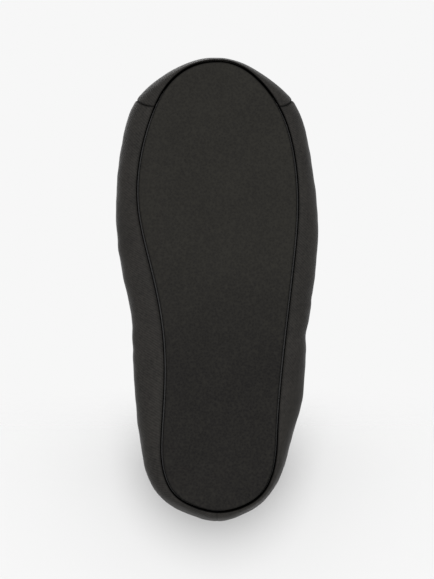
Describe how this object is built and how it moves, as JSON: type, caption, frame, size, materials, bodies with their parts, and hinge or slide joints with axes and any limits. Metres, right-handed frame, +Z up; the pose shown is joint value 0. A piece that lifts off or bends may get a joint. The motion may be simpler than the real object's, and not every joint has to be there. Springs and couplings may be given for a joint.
{
  "type": "ballet slipper",
  "caption": "Soft black ballet slipper for the left foot, with a flat sewn-in textile sole, a toe cap, a seam at the centre of the heel and an elasticated, bound opening",
  "frame": {"origin": "middle of the sole's length, on the surface the slipper stands on", "axes": "+Z up, the toe points along -Y and the heel along +Y; the arch side of the left foot is at -X"},
  "size_m": [0.1112, 0.2564, 0.0583],
  "materials": {
    "sole_cloth": "matt, fine pebbled grain",
    "upper_cloth": "soft fine twill",
    "lining_cloth": "brushed knit",
    "binding": "ribbed tape",
    "tape": "woven tape",
    "thread": "twisted thread",
    "elastic": "braided elastic",
    "foam": "open-cell foam",
    "stiffener": "impregnated felt",
    "fibre_board": "fibre board"
  },
  "bodies": {
    "root": {"outsole": "sole_cloth", "sole_board": "fibre_board", "footbed_foam": "foam", "heel_cushion": "foam", "sock_liner": "lining_cloth", "toe_cap": "upper_cloth", "upper_body": "upper_cloth", "toe_puff": "stiffener", "upper_foam": "foam", "heel_counter": "stiffener", "vamp_lining": "lining_cloth", "quarter_lining": "lining_cloth", "back_seam_tape": "tape", "back_seam_thread": "thread", "toe_seam_thread": "thread", "sole_seam_thread": "thread", "topline_binding": "binding", "topline_elastic": "elastic"}
  },
  "joints": []
}
